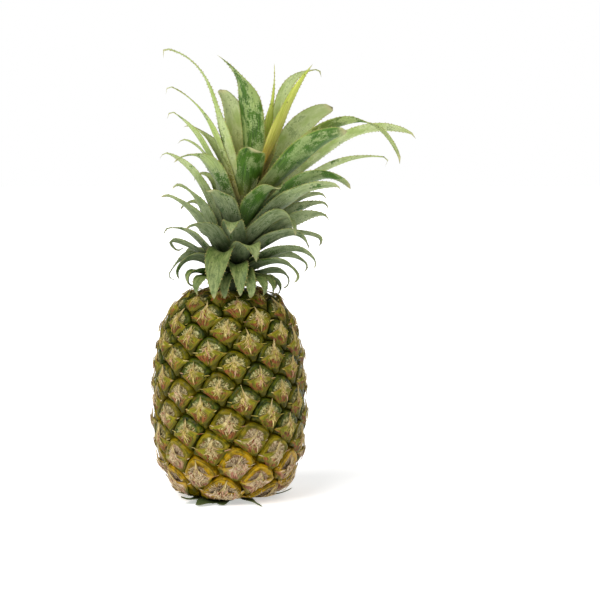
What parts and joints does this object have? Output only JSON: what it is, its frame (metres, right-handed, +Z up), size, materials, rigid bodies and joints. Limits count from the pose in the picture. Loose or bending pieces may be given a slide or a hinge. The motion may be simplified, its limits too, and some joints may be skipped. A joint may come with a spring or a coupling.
{
  "type": "pineapple",
  "caption": "Whole ripe pineapple standing upright on its cut stalk, with spiralled eyes, bracts and a full crown of long toothed leaves leaning to one side",
  "frame": {"origin": "the centre of the stalk's cut face, on which the fruit stands", "axes": "+Z up along the fruit's axis, through the crown; -Y is the front; +X is the side to which the crown leans"},
  "size_m": [0.2083, 0.1227, 0.348],
  "materials": {
    "rind": "satin, green ripening to gold, with dry straw bracts",
    "crown_leaves": "satin grey-green with a pale bloom and dark green patches",
    "heart_leaves": "satin yellow-green",
    "stalk": "matt fibrous cut stalk with dark green basal leaves"
  },
  "bodies": {
    "root": {"fruit": "rind", "crown_leaves": "crown_leaves", "heart_leaves": "heart_leaves", "stalk": "stalk"}
  },
  "joints": []
}
